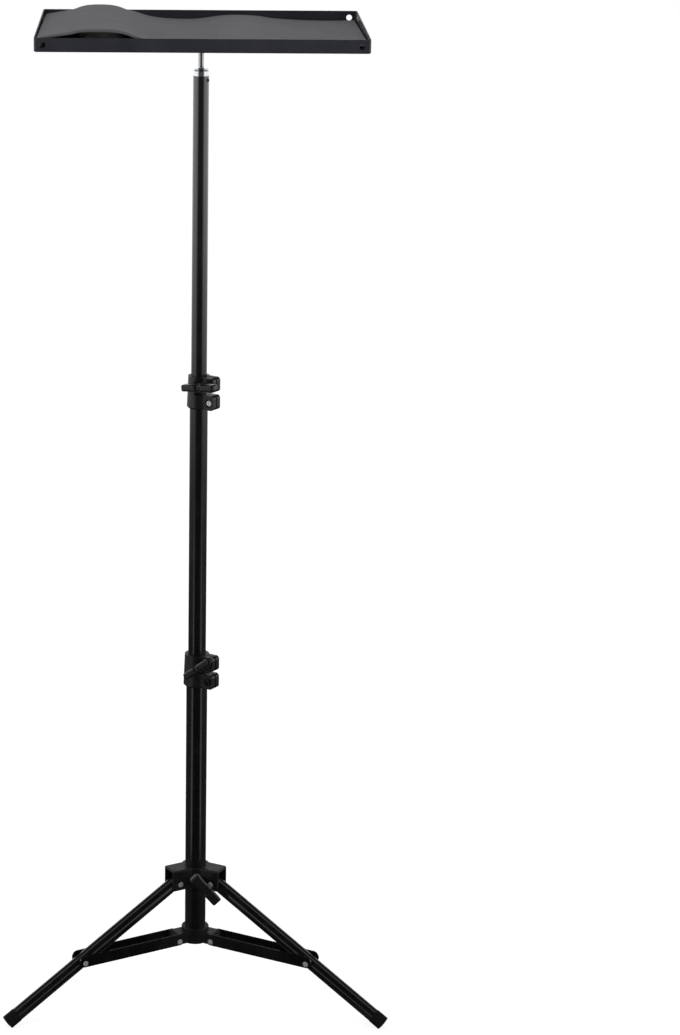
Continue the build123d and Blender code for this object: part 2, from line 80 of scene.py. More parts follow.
camera_data = bpy.data.cameras.new("photo_camera")
camera_data.sensor_width = 36.0
camera_data.lens = FOCAL_PIXELS / PICTURE_HEIGHT * camera_data.sensor_width
camera_data.shift_x = (PICTURE_WIDTH / 2 - COLUMN_PIXEL_X) / PICTURE_HEIGHT
camera = add_object("photo_camera", camera_data)
camera.matrix_world = (
    Matrix.Translation(CAMERA_PLACE)
    @ Matrix.Rotation(CAMERA_YAW, 4, "Z")
    @ Matrix.Rotation(math.pi / 2 - CAMERA_PITCH, 4, "X")
    @ Matrix.Rotation(CAMERA_ROLL, 4, "Z")
)
bpy.context.scene.camera = camera
print("lens", round(camera_data.lens, 2), "shift", round(camera_data.shift_x, 4))

# %% [markdown]
# ## Helpers for node trees
# Every finish and every repeated piece below is a small node tree. Building one by hand in the
# editor is quick, but a script has to do it the same way each time, so three short helpers add a
# node, fill its sockets and join it up. They work in shader trees and in Geometry Nodes alike.

# %% Node helpers
def add_node(tree, kind, **settings):
    """Add a node and set its own properties."""
    made = tree.nodes.new(kind)
    for key, value in settings.items():
        setattr(made, key, value)
    return made


def feed(tree, made, **sockets):
    """Fill sockets by name or number: a value is set, another node's socket is joined."""
    for key, value in sockets.items():
        numbered = key[0] == "i" and key[1:].isdigit()
        socket = made.inputs[int(key[1:]) if numbered else key.replace("_", " ")]
        if isinstance(value, bpy.types.NodeSocket):
            tree.links.new(value, socket)
        else:
            socket.default_value = value
    return made


def joined(tree, kind, **sockets):
    """Add a node, fill its sockets and hand on its first output."""
    return feed(tree, add_node(tree, kind), **sockets).outputs[0]


print("node helpers ready")

# %% [markdown]
# ## Helpers for finishes
# A finish is a pattern that drives colour, roughness and relief. The patterns read Object
# coordinates, which are metres on the real stand, so a scale is a number of features per metre and a
# relief is as deep as the real one. Image textures could hold the same marks, but they would need an
# unwrap for every piece and would blur close up.

# %% Pattern helpers
def ramp(tree, source, low, high, first=0.0, last=1.0):
    """Map a source between two levels to a run of values."""
    made = add_node(tree, "ShaderNodeMapRange")
    feed(tree, made, Value=source, From_Min=low, From_Max=high, To_Min=first, To_Max=last)
    return made.outputs["Result"]


def noise(tree, place, per_metre=1.0, detail=2.0, roughness=0.5):
    """A noise pattern, its scale given as features per metre."""
    made = add_node(tree, "ShaderNodeTexNoise")
    feed(tree, made, Vector=place, Scale=per_metre, Detail=detail, Roughness=roughness)
    return made.outputs["Fac"]


def blend_colours(tree, factor, first, second):
    """Mix two colours by a factor socket."""
    made = add_node(tree, "ShaderNodeMix", data_type="RGBA")
    feed(tree, made, i0=factor, i6=first, i7=second)
    return made.outputs[2]


def bump(tree, height, depth, strength, **under):
    """A bump as deep as the real relief, over another one where Normal is given."""
    return joined(tree, "ShaderNodeBump", Height=height, Distance=depth, Strength=strength, **under)


def finish(name, metallic=0.0, specular=0.5):
    """An empty finish: its tree, its shader and its object coordinates."""
    material = bpy.data.materials.new(name)
    material.use_nodes = True
    tree = material.node_tree
    shader = tree.nodes["Principled BSDF"]
    shader.inputs["Metallic"].default_value = metallic
    shader.inputs["Specular IOR Level"].default_value = specular
    place = add_node(tree, "ShaderNodeTexCoord").outputs["Object"]
    return material, tree, shader, place


print("pattern helpers ready")

# %% [markdown]
# ## Gloss black enamel
# The tubes and legs are steel with a gloss black stove enamel. Enamel is never quite flat: it has
# a faint orange peel and, on drawn tube, long streaks that follow the length. The roughness and a
# shallow bump carry both, because the colour alone would look like plastic. The streaks follow Z, so
# only the upright tubes get them, and the sloping legs and bars have the plain peel.

# %% Enamel for tubes and legs
CLEAN_BLACK = (0.0035, 0.0035, 0.004, 1)
DUSTY_BLACK = (0.008, 0.008, 0.009, 1)
DRAWN_STREAKS = (300, 300, 6)


def stretched(tree, place, per_metre):
    """Object coordinates with a scale of their own along each axis, for streaks and rings."""
    return joined(tree, "ShaderNodeMapping", Vector=place, Scale=per_metre)


def enamel(name, streaked):
    """Gloss black enamel, with or without the streaks of a drawn upright tube."""
    material, tree, shader, place = finish(name, specular=1.0)
    peel = noise(tree, place, per_metre=700)
    gloss = dust = noise(tree, place, per_metre=38, detail=5.0, roughness=0.6)
    if streaked:
        gloss = noise(tree, stretched(tree, place, DRAWN_STREAKS), detail=4.0)
    dusty = ramp(tree, dust, 0.45, 0.8)
    feed(tree, shader, Base_Color=blend_colours(tree, dusty, CLEAN_BLACK, DUSTY_BLACK))
    feed(tree, shader, Roughness=ramp(tree, gloss, 0.3, 0.7, 0.15, 0.25))
    feed(tree, shader, Normal=bump(tree, peel, depth=0.02 * MM, strength=0.4))
    return material


tube_enamel = enamel("tube_enamel", True)
leg_enamel = enamel("leg_enamel", False)
print("enamel nodes", len(tube_enamel.node_tree.nodes), len(leg_enamel.node_tree.nodes))

# %% [markdown]
# ## Arithmetic in a tree
# From here on some patterns have to be multiplied, added or measured before they are used. Each step
# is one Math node, which takes several lines to place by hand, so two helpers write it as one.

# %% Arithmetic helpers
def maths(tree, operation, first, second=0.0):
    """One arithmetic step between two sockets or values."""
    made = add_node(tree, "ShaderNodeMath", operation=operation)
    return feed(tree, made, i0=first, i1=second).outputs[0]


def vector_maths(tree, operation, first, second=(0.0, 0.0, 0.0)):
    """One step with vectors; a length and a dot product come out as a number."""
    made = add_node(tree, "ShaderNodeVectorMath", operation=operation)
    feed(tree, made, i0=first, i1=second)
    return made.outputs["Value" if operation in ("LENGTH", "DOT_PRODUCT") else "Vector"]


print("arithmetic helpers ready")

# %% [markdown]
# ## Moulded black nylon
# The clamps, hub, bracket and wing knobs are moulded in black nylon. The mould leaves a fine spark grain on
# the faces, and handling rubs it a little smoother in patches. The edges are painted paler, partly as wear
# and partly as a painted highlight where they catch the light. The Bevel node finds those edges: it gives
# the normal of a rounded copy, which differs only near an edge.

# %% Nylon with worn and highlit edges
NYLON = (0.005, 0.005, 0.006, 1)
HANDLED_NYLON = (0.009, 0.009, 0.0105, 1)
# The pale edge tone is partly wear and partly a painted highlight.
RUBBED_HIGHLIT_NYLON = (0.030, 0.030, 0.033, 1)


def worn_and_highlit_edges(tree, radius, patches):
    """Where a piece is painted paler: its sharp edges, as wear and as a painted edge highlight, broken up
    by a noise pattern.
    """
    eased = feed(tree, add_node(tree, "ShaderNodeBevel", samples=6), Radius=radius).outputs[0]
    true = add_node(tree, "ShaderNodeNewGeometry").outputs["Normal"]
    edge = ramp(tree, vector_maths(tree, "DOT_PRODUCT", eased, true), 0.97, 0.80)
    return maths(tree, "MULTIPLY", edge, ramp(tree, patches, 0.30, 0.62, 0.25, 1.0))


black_nylon, tree, shader, place = finish("black_nylon")
grain = noise(tree, place, per_metre=2600)
rubbed = noise(tree, place, per_metre=70, detail=4.0)
handled = blend_colours(tree, ramp(tree, rubbed, 0.4, 0.75), NYLON, HANDLED_NYLON)
# Paler edges: wear and a painted edge highlight, in one mask.
rubbed_and_highlit_edges = worn_and_highlit_edges(tree, 0.5 * MM, rubbed)
feed(tree, shader, Base_Color=blend_colours(tree, rubbed_and_highlit_edges, handled, RUBBED_HIGHLIT_NYLON))
feed(tree, shader, Roughness=ramp(tree, rubbed, 0.35, 0.7, 0.42, 0.28))
feed(tree, shader, Normal=bump(tree, grain, depth=0.06 * MM, strength=0.6))
print("nylon nodes", len(tree.nodes))

# %% [markdown]
# ## Powder coat
# The tray is folded steel with a bluish black powder coat. Powder melts into a skin of tiny lumps about a
# millimetre across, which breaks up the reflections into a soft, even sheen. The folded edges are painted
# paler, partly because the coat is thin there and partly as a painted highlight, and the pattern for worn
# and highlit edges serves again.

# %% Powder coat on the tray
POWDER = (0.021, 0.022, 0.029, 1)
CLOUDED_POWDER = (0.030, 0.031, 0.040, 1)
# The pale tone on the folds is partly a thin coat and partly a painted highlight.
THIN_HIGHLIT_POWDER = (0.070, 0.072, 0.083, 1)
tray_powder, tree, shader, place = finish("tray_powder")
lumps = noise(tree, place, per_metre=1100)
clouds = noise(tree, place, per_metre=22, detail=4.0)
coated = blend_colours(tree, ramp(tree, clouds, 0.35, 0.7), POWDER, CLOUDED_POWDER)
# Paler folded edges: thin coat and a painted edge highlight.
rubbed_and_highlit_edges = worn_and_highlit_edges(tree, 0.4 * MM, noise(tree, place, per_metre=120, detail=4.0))
feed(tree, shader, Base_Color=blend_colours(tree, rubbed_and_highlit_edges, coated, THIN_HIGHLIT_POWDER))
feed(tree, shader, Roughness=ramp(tree, lumps, 0.3, 0.7, 0.36, 0.50))
feed(tree, shader, Normal=bump(tree, lumps, depth=0.08 * MM, strength=0.6))
print("powder nodes", len(tree.nodes))

# %% [markdown]
# ## Foam rubber
# The mat is a thin sheet of grey foam rubber. Its face is closed but full of tiny cells, so it
# scatters light and hardly shines. Two sizes of cell, one bump over the other, keep it from looking
# like printed noise, and a little sheen stands for the soft face of the foam.

# %% Grey foam rubber
FOAM = (0.090, 0.091, 0.102, 1)
WORN_FOAM = (0.115, 0.116, 0.128, 1)
HANDLING_STREAKS = (30, 90, 30)
mat_rubber, tree, shader, place = finish("mat_rubber", specular=0.2)
cells = feed(tree, add_node(tree, "ShaderNodeTexVoronoi", feature="F1"), Vector=place, Scale=950.0)
fine = noise(tree, place, per_metre=2400)
worn = noise(tree, stretched(tree, place, HANDLING_STREAKS), detail=6.0, roughness=0.6)
feed(tree, shader, Base_Color=blend_colours(tree, ramp(tree, worn, 0.3, 0.72), FOAM, WORN_FOAM))
feed(tree, shader, Roughness=ramp(tree, fine, 0.3, 0.7, 0.78, 0.92))
pits = bump(tree, cells.outputs["Distance"], depth=0.1 * MM, strength=0.5)
feed(tree, shader, Normal=bump(tree, fine, depth=0.08 * MM, strength=0.5, Normal=pits))
feed(tree, shader, Sheen_Weight=0.12, Sheen_Roughness=0.5)
print("foam nodes", len(tree.nodes))

# %% [markdown]
# ## Turned chrome
# The spigot at the top of the column is turned steel with a chrome plate. A lathe leaves rings that
# run round the axis. They could be cut as real grooves, but they are far too fine to show in the
# outline, so the pattern is squeezed along Z instead and drives roughness and a shallow bump.

# %% Chrome on the spigot
CHROME = (0.56, 0.57, 0.585, 1)
SMEARED_CHROME = (0.46, 0.465, 0.48, 1)
LATHE_RINGS = (20, 20, 5200)
turned_chrome, tree, shader, place = finish("turned_chrome", metallic=1.0)
rings = noise(tree, stretched(tree, place, LATHE_RINGS))
smear = noise(tree, place, per_metre=160, detail=4.0)
smeared = ramp(tree, smear, 0.35, 0.7)
feed(tree, shader, Base_Color=blend_colours(tree, smeared, CHROME, SMEARED_CHROME))
feed(tree, shader, Roughness=ramp(tree, rings, 0.3, 0.7, 0.06, 0.14))
feed(tree, shader, Normal=bump(tree, rings, depth=0.02 * MM, strength=0.5))
print("chrome nodes", len(tree.nodes))

# %% [markdown]
# ## Zinc plate
# Rivets, nuts and screws are zinc plated and passivated. That film is cloudy, so part of the light scatters
# in it and the plate looks grey rather than mirror bright. The cross-head screw of the upper clamp is given
# a paler plate than the rivets as a painted highlight, so one function makes both from two tones.

# %% Zinc for rivets and screws
def zinc(name, metallic, paler_tone, cloudy):
    """Zinc plate that varies between a paler and a cloudy tone; a pale pair gives a painted highlight."""
    material, tree, shader, place = finish(name, metallic=metallic)
    mottle = noise(tree, place, per_metre=900, detail=4.0, roughness=0.6)
    feed(tree, shader, Base_Color=blend_colours(tree, ramp(tree, mottle, 0.35, 0.68), paler_tone, cloudy))
    feed(tree, shader, Roughness=ramp(tree, mottle, 0.3, 0.7, 0.34, 0.52))
    feed(tree, shader, Normal=bump(tree, mottle, depth=0.03 * MM, strength=0.5))
    return material


zinc_plate = zinc("zinc_plate", 0.5, (0.46, 0.465, 0.475, 1), (0.31, 0.312, 0.32, 1))
# The pale tones of the upper clamp screw's zinc are a painted highlight.
highlight_zinc = zinc("highlight_zinc", 0.3, (0.78, 0.785, 0.79, 1), (0.62, 0.625, 0.63, 1))
print("zinc nodes", len(zinc_plate.node_tree.nodes), len(highlight_zinc.node_tree.nodes))

# %% [markdown]
# ## Black oxide
# The set screw in the spigot is blackened steel: bare metal under a thin dark film that is a little browner
# where it is thin. The cross-head screw of the lower clamp gets the same dark finish as painted shade,
# because it sits in shadow. One noise pattern is enough for pieces this small, and it needs no bump.

# %% Oxide and painted shade on two screws
# These tones are real oxide on the set screw and painted shade on the lower clamp screw.
OXIDE_AND_SHADE = (0.030, 0.030, 0.032, 1)
THIN_OXIDE_AND_SHADE = (0.060, 0.058, 0.056, 1)
black_oxide_and_shade, tree, shader, place = finish("black_oxide_and_shade", metallic=1.0)
film = noise(tree, place, per_metre=1500, detail=3.0)
feed(tree, shader, Base_Color=blend_colours(tree, ramp(tree, film, 0.3, 0.7), OXIDE_AND_SHADE, THIN_OXIDE_AND_SHADE))
feed(tree, shader, Roughness=ramp(tree, film, 0.3, 0.7, 0.30, 0.46))
print("oxide nodes", len(tree.nodes))

# %% [markdown]
# ## Foot rubber
# The feet are soft black rubber that picks up a little pale dust near the floor. The dust could be
# painted on by hand, but Object coordinates have their zero on the floor, so the height alone says
# where it belongs.

# %% Rubber on the feet
RUBBER = (0.005, 0.005, 0.005, 1)
FLOOR_DUST = (0.020, 0.019, 0.018, 1)
DUST_HEIGHT = 6.0 * MM
foot_rubber, tree, shader, place = finish("foot_rubber", specular=0.2)
pores = noise(tree, place, per_metre=1900)
height = feed(tree, add_node(tree, "ShaderNodeSeparateXYZ"), Vector=place).outputs["Z"]
speckle = ramp(tree, noise(tree, place, per_metre=500, detail=4.0), 0.45, 0.7)
dusty = maths(tree, "MULTIPLY", ramp(tree, height, 0.0, DUST_HEIGHT, 1.0, 0.0), speckle)
feed(tree, shader, Base_Color=blend_colours(tree, dusty, RUBBER, FLOOR_DUST))
feed(tree, shader, Roughness=ramp(tree, pores, 0.3, 0.7, 0.62, 0.80))
feed(tree, shader, Normal=bump(tree, pores, depth=0.06 * MM, strength=0.6))
print("rubber nodes", len(tree.nodes), "finishes", len(bpy.data.materials))

# %% [markdown]
# ## Painting the carried-over pieces
# The rigid pieces whose shape is already right keep their own mesh and only change their finish.
# A table from finish to piece names says which is which, so nothing is left with a flat colour.

# %% Paint the rigid pieces
SIDES = ("left", "right", "back")
PAINT = {
    tube_enamel: ["lower_tube", "middle_tube", "top_tube"],
    leg_enamel: [f"{side}_leg" for side in SIDES],
    black_nylon: ["leg_hub", "foot_bracket", "lower_clamp", "upper_clamp"],
    tray_powder: ["tray_pan", "tray_flange"],
    turned_chrome: ["spigot"],
    # The lower clamp screw takes the dark finish as painted shade, since it sits in shadow.
    black_oxide_and_shade: ["spigot_screw", "lower_clamp_screw"],
    foot_rubber: [f"{side}_foot" for side in SIDES],
    mat_rubber: ["tray_mat"],
    # The upper clamp screw's pale zinc is a painted highlight.
    highlight_zinc: ["upper_clamp_screw"],
    zinc_plate: [f"{side}_{pin}" for side in SIDES for pin in ("hub_pin", "bracket_pin")],
}
PAINT[leg_enamel] += [f"{side}_stay_bar_{hand}" for side in SIDES for hand in "ab"]
PAINT[zinc_plate] += [f"{side}_stay_rivet_{hand}" for side in SIDES for hand in "ab"]
for grip in ("lower", "upper", "hub"):
    PAINT[black_nylon].append(f"{grip}_knob")
    PAINT[zinc_plate].append(f"{grip}_knob_screw")
for material, names in PAINT.items():
    for name in names:
        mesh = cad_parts[name].data
        mesh.materials.clear()
        mesh.materials.append(material)
print("painted", sum(len(names) for names in PAINT.values()), "of", len(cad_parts))

# %% [markdown]
# ## Growing repeated pieces
# Rivets, nuts and a thread are the same small shape again and again, or one shape along a path.
# Modelling each by hand is slow and easy to get uneven. Geometry Nodes state the rule once, with the
# sizes as named inputs. Every tree starts with those inputs and ends in real geometry with a finish,
# so both ends are helpers.

# %% Start and end of a tree
def size_tree(name, sizes):
    """A Geometry Nodes tree with one input for each named size."""
    tree = bpy.data.node_groups.new(name, "GeometryNodeTree")
    tree.interface.new_socket(name="Geometry", in_out="INPUT", socket_type="NodeSocketGeometry")
    for label in sizes:
        tree.interface.new_socket(name=label, in_out="INPUT", socket_type="NodeSocketFloat")
    tree.interface.new_socket(name="Geometry", in_out="OUTPUT", socket_type="NodeSocketGeometry")
    return tree, add_node(tree, "NodeGroupInput").outputs, add_node(tree, "NodeGroupOutput")


def end_tree(tree, end, geometry, material, smooth=True):
    """Close a tree: real geometry, shading and finish."""
    real = joined(tree, "GeometryNodeRealizeInstances", Geometry=geometry)
    shaded = joined(tree, "GeometryNodeSetShadeSmooth", Geometry=real, Shade_Smooth=smooth)
    painted = joined(tree, "GeometryNodeSetMaterial", Geometry=shaded, Material=material)
    feed(tree, end, Geometry=painted)


print("tree ends ready")

# %% [markdown]
# A tree only shows its result while its modifier sits on an object. So the tree runs on a throwaway
# object of seed points, one for each copy, and the evaluated result is copied into a plain mesh.
# Applying the modifier would do the same, but that needs an operator and a selected object. A seed
# can carry the direction that its copy faces.

# %% Run a tree
def grow(name, tree, sizes, seeds=((0, 0, 0),), axes=None):
    """Run a tree on a few seed points and keep the result as a plain mesh object."""
    points = bpy.data.meshes.new(name + "_seeds")
    points.from_pydata(seeds, [], [])
    if axes:
        column = points.attributes.new("axis", "FLOAT_VECTOR", "POINT")
        column.data.foreach_set("vector", [value for axis in axes for value in axis])
    seed = add_object(name + "_seeds", points)
    modifier = seed.modifiers.new("grow", "NODES")
    modifier.node_group = tree
    for socket in tree.interface.items_tree:
        if socket.in_out == "INPUT" and socket.name in sizes:
            modifier[socket.identifier] = sizes[socket.name]
    evaluated = seed.evaluated_get(bpy.context.evaluated_depsgraph_get())
    grown = bpy.data.meshes.new_from_object(evaluated)
    bpy.data.objects.remove(seed)
    print(name, "faces", len(grown.polygons))
    return add_object(name, grown)


print("growing ready")

# %% [markdown]
# ## Set rivets
# The tripod turns on riveted pins. A factory rivet is closed by a punch, which leaves a low dome with
# a small ring and dimple in the middle. A dome could be cut from a sphere, but then it would have no
# dimple, so the head here is a disc whose rings are lifted by a drawn profile.

# %% Punched head
HEAD_SIZES = {"Head Radius": 3.6 * MM, "Head Height": 1.8 * MM, "Head Skirt": 0.1 * MM}
PUNCHED_DOME = [(0, 0.84), (0.15, 0.85), (0.28, 0.98), (0.42, 1.0), (0.66, 0.88), (0.87, 0.55), (1.0, 0.12)]


def curve_of(tree, value, points):
    """A smooth drawn curve through a few points, as a node."""
    made = add_node(tree, "ShaderNodeFloatCurve")
    line = made.mapping.curves[0]
    for x, y in points[1:-1]:
        line.points.new(x, y)
    for point, (x, y) in zip(line.points, points):
        point.location = (x, y)
    made.mapping.update()
    return feed(tree, made, Value=value).outputs[0]


rivet_tree, size, end = size_tree("set_rivet", HEAD_SIZES)
disc = add_node(rivet_tree, "GeometryNodeMeshCylinder", fill_type="TRIANGLE_FAN")
feed(rivet_tree, disc, Vertices=32, Fill_Segments=10, Radius=size["Head Radius"], Depth=size["Head Skirt"])
spot = add_node(rivet_tree, "GeometryNodeInputPosition").outputs[0]
far = vector_maths(rivet_tree, "LENGTH", vector_maths(rivet_tree, "MULTIPLY", spot, (1, 1, 0)))
share = maths(rivet_tree, "DIVIDE", far, size["Head Radius"])
lift = maths(rivet_tree, "MULTIPLY", curve_of(rivet_tree, share, PUNCHED_DOME), size["Head Height"])
dome = add_node(rivet_tree, "GeometryNodeSetPosition")
feed(rivet_tree, dome, Geometry=disc.outputs["Mesh"], Selection=disc.outputs["Top"])
feed(rivet_tree, dome, Offset=joined(rivet_tree, "ShaderNodeCombineXYZ", Z=lift))
print("rivet head", len(rivet_tree.nodes), "nodes so far")

# %% [markdown]
# A head has to lie square on the end of its pin, and the pins point three ways round the column. The
# heads could be turned one at a time. Instead each seed carries the axis of its pin, and the tree
# turns every copy to face along it.

# %% A head on each seed
axis = add_node(rivet_tree, "GeometryNodeInputNamedAttribute", data_type="FLOAT_VECTOR")
feed(rivet_tree, axis, Name="axis")
facing = add_node(rivet_tree, "FunctionNodeAlignRotationToVector", axis="Z")
feed(rivet_tree, facing, Vector=axis.outputs["Attribute"])
heads = add_node(rivet_tree, "GeometryNodeInstanceOnPoints")
feed(rivet_tree, heads, Points=size["Geometry"], Instance=dome.outputs[0], Rotation=facing.outputs[0])
end_tree(rivet_tree, end, heads.outputs[0], zinc_plate)
print("rivet tree", len(rivet_tree.nodes), "nodes")

# %% [markdown]
# The pins come from the solid model, so their ends are measured on their meshes rather than typed in
# again. Each group of heads rides the body that its pins belong to, and stands in for the plain pins.

# %% Heads on the pin ends
LEG_AZIMUTH = {"left": 210.0, "right": 330.0, "back": 90.0}
BOTH_ENDS = (1, -1)


def corners_of(node):
    """The mesh points of a carried-over piece."""
    return [Vector(vertex.co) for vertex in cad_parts[node].data.vertices]


def pin_heads(node, side, ends):
    """Where the heads of a pin sit and which way they face."""
    turn = math.radians(LEG_AZIMUTH[side])
    across = Vector((math.sin(turn), -math.cos(turn), 0))
    corners = corners_of(node)
    low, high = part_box(node)
    middle = (Vector(low) + Vector(high)) / 2
    found = []
    for end_sign in ends:
        outward = across * end_sign
        reach = max((corner - middle).dot(outward) for corner in corners)
        found.append((middle + outward * (reach - HEAD_SIZES["Head Height"]), outward))
    return found


RIVETED = {
    "hub": [(f"{side}_hub_pin", side, BOTH_ENDS) for side in SIDES],
    "base": [(f"{side}_bracket_pin", side, BOTH_ENDS) for side in SIDES],
}
for side in SIDES:
    RIVETED[f"{side}_stay"] = [(f"{side}_stay_rivet_a", side, (1,)), (f"{side}_stay_rivet_b", side, (-1,))]
for body, pins in RIVETED.items():
    places, ways = zip(*[head for pin in pins for head in pin_heads(*pin)])
    rivets = grow(f"{body}_rivets", rivet_tree, HEAD_SIZES, places, ways)
    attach(rivets, body)
    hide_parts(*[pin[0] for pin in pins])
print("riveted bodies", len(RIVETED))

# %% [markdown]
# ## Captive nuts
# Each clamp screw ends in a hexagon nut that a pocket in the far ear keeps from turning. A nut is a
# flat ring pulled up into a prism, so the tree fills the gap between two circles, one of them with
# only six points, and extrudes it. The extrusion leaves the bottom open, and a flipped copy of the
# ring closes it.

# %% Hexagon prism
NUT_SIZES = {"Across Flats": 7.9 * MM, "Bore": 2.6 * MM, "Thickness": 3.3 * MM}
WELD = 0.01 * MM
nut_tree, size, end = size_tree("captive_nut", NUT_SIZES)
corner = maths(nut_tree, "DIVIDE", size["Across Flats"], 2 * math.cos(math.radians(30)))
outlines = add_node(nut_tree, "GeometryNodeJoinGeometry")
for points, radius in ((6, corner), (24, size["Bore"])):
    circle = joined(nut_tree, "GeometryNodeCurvePrimitiveCircle", Resolution=points, Radius=radius)
    feed(nut_tree, outlines, Geometry=circle)
ring = joined(nut_tree, "GeometryNodeFillCurve", Curve=outlines.outputs[0])
pulled = add_node(nut_tree, "GeometryNodeExtrudeMesh")
feed(nut_tree, pulled, Mesh=ring, Offset_Scale=size["Thickness"], Individual=False)
prism = feed(nut_tree, add_node(nut_tree, "GeometryNodeJoinGeometry"), Geometry=pulled.outputs[0])
feed(nut_tree, prism, Geometry=joined(nut_tree, "GeometryNodeFlipFaces", Mesh=ring))
nut = joined(nut_tree, "GeometryNodeMergeByDistance", Geometry=prism.outputs[0], Distance=WELD)
print("nut", len(nut_tree.nodes), "nodes so far")

# %% [markdown]
# The ears of both clamps stand out to the front right, so all four nuts lie the same way. A nut has to
# match its pocket: its axis runs through the ears, and one corner points away from the column. The
# first rotation sets the axis, and the second turns the nut about it.

# %% A nut on each seed
EAR_AZIMUTH = math.radians(-35.0)
ear_out = Vector((math.cos(EAR_AZIMUTH), math.sin(EAR_AZIMUTH), 0))
ear_far = Vector((-math.sin(EAR_AZIMUTH), math.cos(EAR_AZIMUTH), 0))
facing = add_node(nut_tree, "FunctionNodeAlignRotationToVector", axis="Z")
feed(nut_tree, facing, Vector=ear_far)
turned = add_node(nut_tree, "FunctionNodeAlignRotationToVector", axis="X", pivot_axis="Z")
feed(nut_tree, turned, Rotation=facing.outputs[0], Vector=ear_out)
nuts = add_node(nut_tree, "GeometryNodeInstanceOnPoints")
feed(nut_tree, nuts, Points=size["Geometry"], Instance=nut, Rotation=turned.outputs[0])
end_tree(nut_tree, end, nuts.outputs[0], zinc_plate, smooth=False)
print("nut tree", len(nut_tree.nodes), "nodes")

# %% [markdown]
# The floor of a pocket is found from the end of its screw, which stands a known depth above it. The
# screw's mesh gives that end, so a nut follows its screw if the stand changes.

# %% Nuts in the pockets
POCKET_DEPTH = 3.9 * MM
RIM_BAND = 0.05 * MM


def far_end(node):
    """The middle of the end of a screw at the far ear."""
    corners = corners_of(node)
    reach = max(corner.dot(ear_far) for corner in corners)
    rim = [corner for corner in corners if corner.dot(ear_far) > reach - RIM_BAND]
    return sum(rim, Vector()) / len(rim)


for body, clamp in (("base", "lower"), ("middle", "upper")):
    floors = [far_end(f"{clamp}_{screw}_screw") - ear_far * POCKET_DEPTH for screw in ("clamp", "knob")]
    clamp_nuts = grow(f"{clamp}_clamp_nuts", nut_tree, NUT_SIZES, floors)
    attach(clamp_nuts, body)
    print(clamp, "nuts at heights", [round(pocket.z, 4) for pocket in floors])

# %% [markdown]
# ## The stud thread
# The tray screws on to a quarter-inch stud that stands up from the spigot, with twenty turns to the
# inch. A painted stripe would vanish in the outline, so the thread is a real ridge: a spiral with a
# small profile swept along it.

# %% Thread on the stud
THREAD_SIZES = {"Pitch": 1.27 * MM, "Length": 16.6 * MM, "Stud Radius": 3.175 * MM, "Ridge": 0.42 * MM}
THREAD_RUN_OUT = 0.7 * MM
thread_tree, size, end = size_tree("stud_thread", THREAD_SIZES)
turns = maths(thread_tree, "DIVIDE", size["Length"], size["Pitch"])
spiral = add_node(thread_tree, "GeometryNodeCurveSpiral")
feed(thread_tree, spiral, Resolution=28, Rotations=turns, Height=size["Length"])
feed(thread_tree, spiral, Start_Radius=size["Stud Radius"], End_Radius=size["Stud Radius"])
upright = add_node(thread_tree, "GeometryNodeSetCurveNormal", mode="Z_UP")
feed(thread_tree, upright, Curve=spiral.outputs[0])
ridge = joined(thread_tree, "GeometryNodeCurvePrimitiveCircle", Resolution=6, Radius=size["Ridge"])
swept = add_node(thread_tree, "GeometryNodeCurveToMesh")
feed(thread_tree, swept, Curve=upright.outputs[0], Profile_Curve=ridge, Fill_Caps=True)
end_tree(thread_tree, end, swept.outputs[0], turned_chrome)
stud_thread = grow("stud_thread", thread_tree, THREAD_SIZES)
thread_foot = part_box("tray_flange")[0][2] - THREAD_SIZES["Length"] - THREAD_RUN_OUT
stud_thread.data.transform(Matrix.Translation((0, 0, thread_foot)))
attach(stud_thread, "top")
print("thread starts at", round(thread_foot, 4), "m")

# %% [markdown]
# ## The loose mat
# A sheet of foam rubber lies in the tray. It is a little longer than the tray, so it cannot lie
# flat: the left end is propped on the lip and a tall wave stands next to it, then a low one. A cloth
# simulation could find such a shape, but the picture fixes where each wave is, so the height is a
# drawn curve along the length. The front and back edges differ, so each has a curve of its own, and
# the front right corner curls up behind the lip, where it leaves the hole dark.

# %% Mat tree
MAT_LOW, MAT_HIGH = (Vector(corner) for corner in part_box("tray_mat"))
END_PLAY = 1.0 * MM
MAT_SIZES = {
    "Length": MAT_HIGH.x - MAT_LOW.x - END_PLAY,
    "Width": MAT_HIGH.y - MAT_LOW.y,
    "Wave Height": 26.0 * MM,
}
FRONT_WAVE = [(0, 0.50), (0.09, 0.74), (0.187, 0.896), (0.315, 0.527), (0.444, 0.135),
              (0.62, 0.285), (0.76, 0.12), (0.883, 0.090), (0.975, 0.335), (1.0, 0.385)]
BACK_WAVE = [(0, 0.31), (0.084, 0.512), (0.176, 0.758), (0.267, 0.512), (0.444, 0.115),
             (0.62, 0.315), (0.76, 0.14), (0.883, 0.070), (1.0, 0.09)]


def share_of(tree, place, length):
    """Where a place lies along a length that is centred on the origin, from 0 to 1."""
    return maths(tree, "ADD", maths(tree, "DIVIDE", place, length), 0.5)


